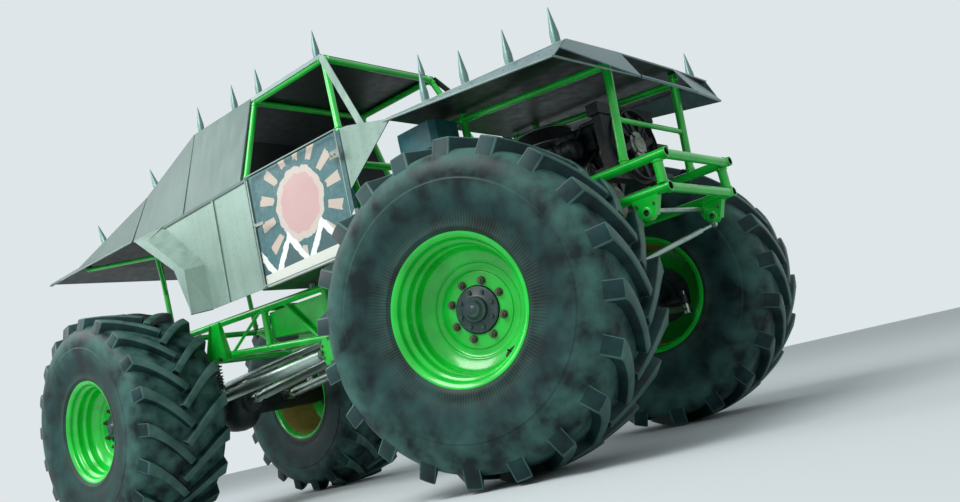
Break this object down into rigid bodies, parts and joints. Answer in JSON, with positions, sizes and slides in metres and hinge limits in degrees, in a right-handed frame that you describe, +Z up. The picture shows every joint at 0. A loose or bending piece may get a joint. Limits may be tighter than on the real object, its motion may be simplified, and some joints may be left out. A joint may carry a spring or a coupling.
{
  "type": "monster truck",
  "caption": "Open monster truck with angular sheet-metal body, spikes, tube frame, open engine bay and very large lugged tyres on deep rims.",
  "frame": {"origin": "on the ground below the middle of the whole truck's length and width", "axes": "+X forwards, +Y to the truck's left, +Z up"},
  "size_m": [5.695, 2.7412, 2.951],
  "materials": {
    "body_sheet": "weathered grey-green sheet steel",
    "door_sheet": "printed sheet with a plain pattern",
    "green_paint": "gloss",
    "tyre_rubber": "matt rubber",
    "dark_steel": "satin",
    "bright_steel": "worn bright steel",
    "cast_iron": "oily cast iron",
    "aluminium": "cast",
    "black_plastic": "matt",
    "seat_fabric": "woven",
    "teal_plastic": "moulded"
  },
  "bodies": {
    "chassis": {"belt_drive": "aluminium", "body_spikes": "body_sheet", "bumper": "green_paint", "bumper_brackets": "green_paint", "cab_cage": "green_paint", "cab_floor": "body_sheet", "coolant_tank": "teal_plastic", "cowl_sides": "body_sheet", "crossmembers": "green_paint", "drive_shafts": "bright_steel", "engine_block": "cast_iron", "engine_intake": "aluminium", "exhaust_headers": "bright_steel", "flare_left": "body_sheet", "flare_right": "body_sheet", "frame_brackets": "green_paint", "frame_left": "green_paint", "frame_right": "green_paint", "front_axle": "dark_steel", "front_brace": "green_paint", "front_links": "bright_steel", "front_shocks": "green_paint", "gear_case": "dark_steel", "hood": "body_sheet", "hood_frame": "green_paint", "hood_front": "body_sheet", "hood_spikes": "body_sheet", "quarter_left": "body_sheet", "quarter_right": "body_sheet", "radiator": "aluminium", "rear_axle": "dark_steel", "rear_deck": "body_sheet", "rear_links": "bright_steel", "rear_shocks": "green_paint", "roof": "body_sheet", "screen_pillars": "body_sheet", "seat": "seat_fabric", "side_box": "green_paint", "steering_wheel": "black_plastic", "tail_posts": "green_paint", "track_rod": "bright_steel", "upper_side_left": "body_sheet", "upper_side_right": "body_sheet"},
    "wheel_fr": {"hub_fr": "dark_steel", "rim_fr": "green_paint", "tyre_fr": "tyre_rubber"},
    "wheel_fl": {"hub_fl": "dark_steel", "rim_fl": "green_paint", "tyre_fl": "tyre_rubber"},
    "wheel_rr": {"hub_rr": "dark_steel", "rim_rr": "green_paint", "tyre_rr": "tyre_rubber"},
    "wheel_rl": {"hub_rl": "dark_steel", "rim_rl": "green_paint", "tyre_rl": "tyre_rubber"},
    "knuckle_right": {"knuckle_right": "dark_steel"},
    "knuckle_left": {"knuckle_left": "dark_steel"},
    "tie_rod": {"tie_rod": "bright_steel"},
    "door_right": {"door_right": "door_sheet"},
    "door_left": {"door_left": "door_sheet"}
  },
  "joints": [
    {"name": "steer_right", "type": "hinge", "parent": "chassis", "child": "knuckle_right", "pos_m": [1.954, -0.72, 0.8], "axis": [0, 0, 1], "range_deg": [-29.9, 4.1]},
    {"name": "steer_left", "type": "hinge", "parent": "chassis", "child": "knuckle_left", "pos_m": [1.954, 0.72, 0.8], "axis": [0, 0, 1], "range_deg": [-29.9, 4.1]},
    {"name": "tie_rod_pin", "type": "hinge", "parent": "knuckle_right", "child": "tie_rod", "pos_m": [2.14895, -0.67535, 0.725], "axis": [0, 0, 1], "range_deg": [-4.1, 29.9]},
    {"name": "roll_fr", "type": "hinge", "parent": "knuckle_right", "child": "wheel_fr", "pos_m": [1.99419, -0.89546, 0.8], "axis": [-0.2233, 0.9748, 0], "continuous": true},
    {"name": "roll_fl", "type": "hinge", "parent": "knuckle_left", "child": "wheel_fl", "pos_m": [1.91381, 0.89546, 0.8], "axis": [-0.2233, 0.9748, 0], "continuous": true},
    {"name": "roll_rr", "type": "hinge", "parent": "chassis", "child": "wheel_rr", "pos_m": [-1.494, -0.9, 0.8], "axis": [0, 1, 0], "continuous": true},
    {"name": "roll_rl", "type": "hinge", "parent": "chassis", "child": "wheel_rl", "pos_m": [-1.494, 0.9, 0.8], "axis": [0, 1, 0], "continuous": true},
    {"name": "door_right_hinge", "type": "hinge", "parent": "chassis", "child": "door_right", "pos_m": [1.046, -0.72, 1.75], "axis": [0, 0, 1], "range_deg": [0, 70]},
    {"name": "door_left_hinge", "type": "hinge", "parent": "chassis", "child": "door_left", "pos_m": [1.046, 0.72, 1.75], "axis": [0, 0, -1], "range_deg": [0, 70]}
  ],
  "couplings": [
    {"joint": "steer_left", "follows": "steer_right", "ratio": 1},
    {"joint": "tie_rod_pin", "follows": "steer_right", "ratio": -1}
  ]
}
